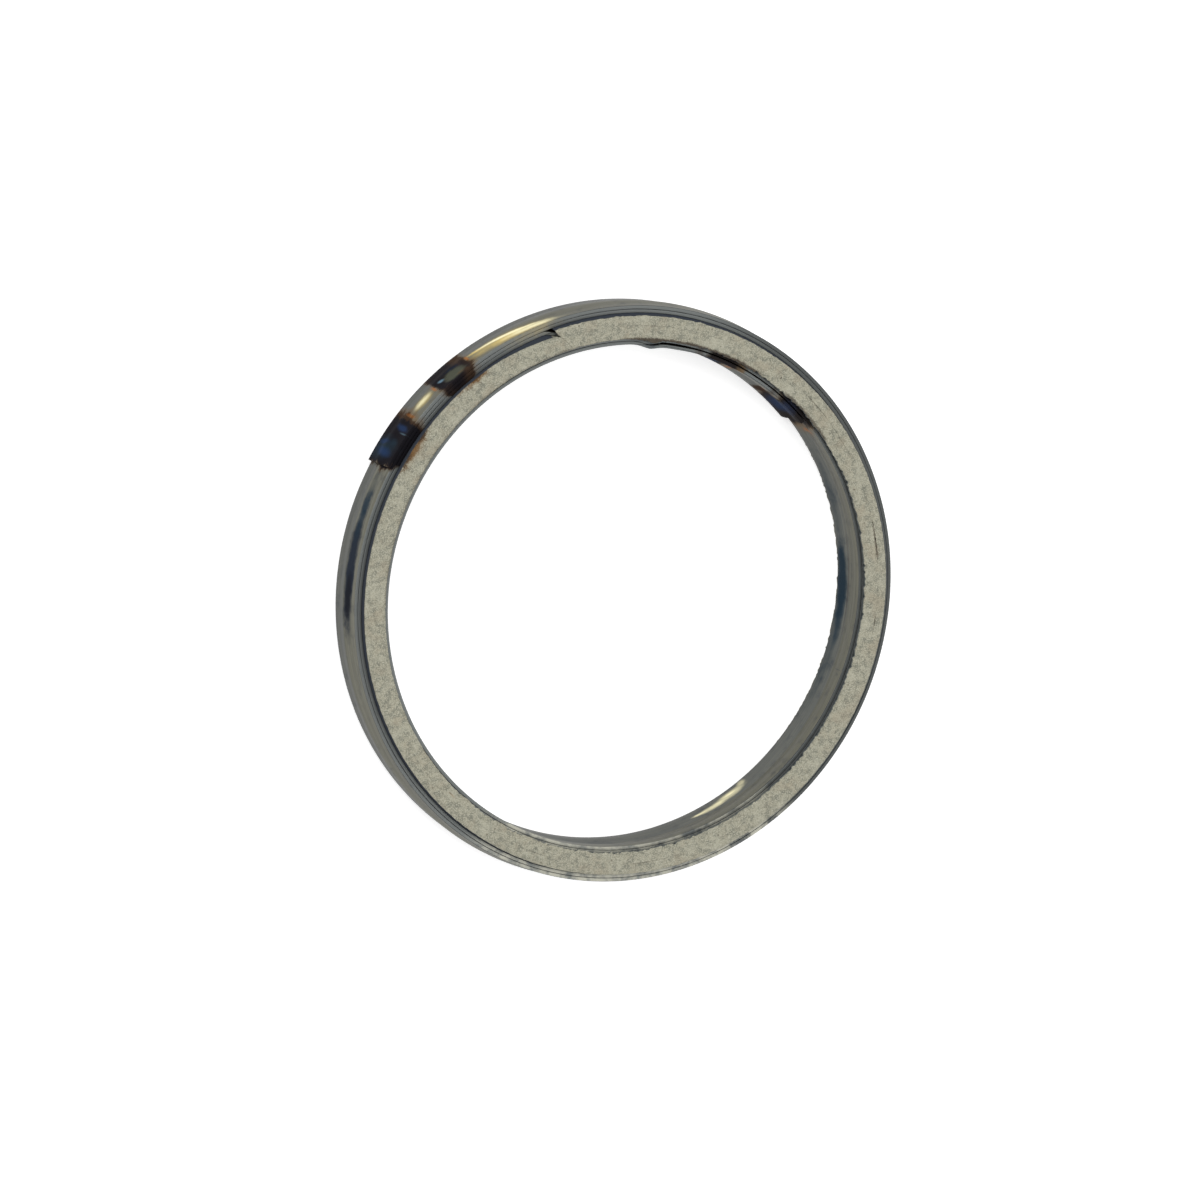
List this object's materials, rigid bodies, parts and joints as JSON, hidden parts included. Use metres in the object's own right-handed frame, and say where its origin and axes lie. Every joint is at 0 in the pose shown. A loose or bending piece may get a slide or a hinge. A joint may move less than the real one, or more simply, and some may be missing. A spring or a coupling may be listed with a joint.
{
  "type": "exhaust gasket",
  "caption": "Spiral-wound ring gasket: chevron steel strip wound with a soft mineral filler strip, seals an exhaust pipe flange to an engine port.",
  "frame": {"origin": "on the ring's axis, in the plane of the lower filler face that it rests on", "axes": "+Z along the ring's axis, from the port seat face towards the pipe flange face; the picture's right is +X and its top +Y"},
  "size_m": [0.0443, 0.0445, 0.0053],
  "materials": {
    "winding_strip": "rolled stainless steel, grey with straw to blue heat tint at the spot welds",
    "filler_strip": "matt pale beige-grey mineral fibre, pressed flat"
  },
  "bodies": {
    "root": {"winding_strip": "winding_strip", "filler_strip": "filler_strip"}
  },
  "joints": []
}
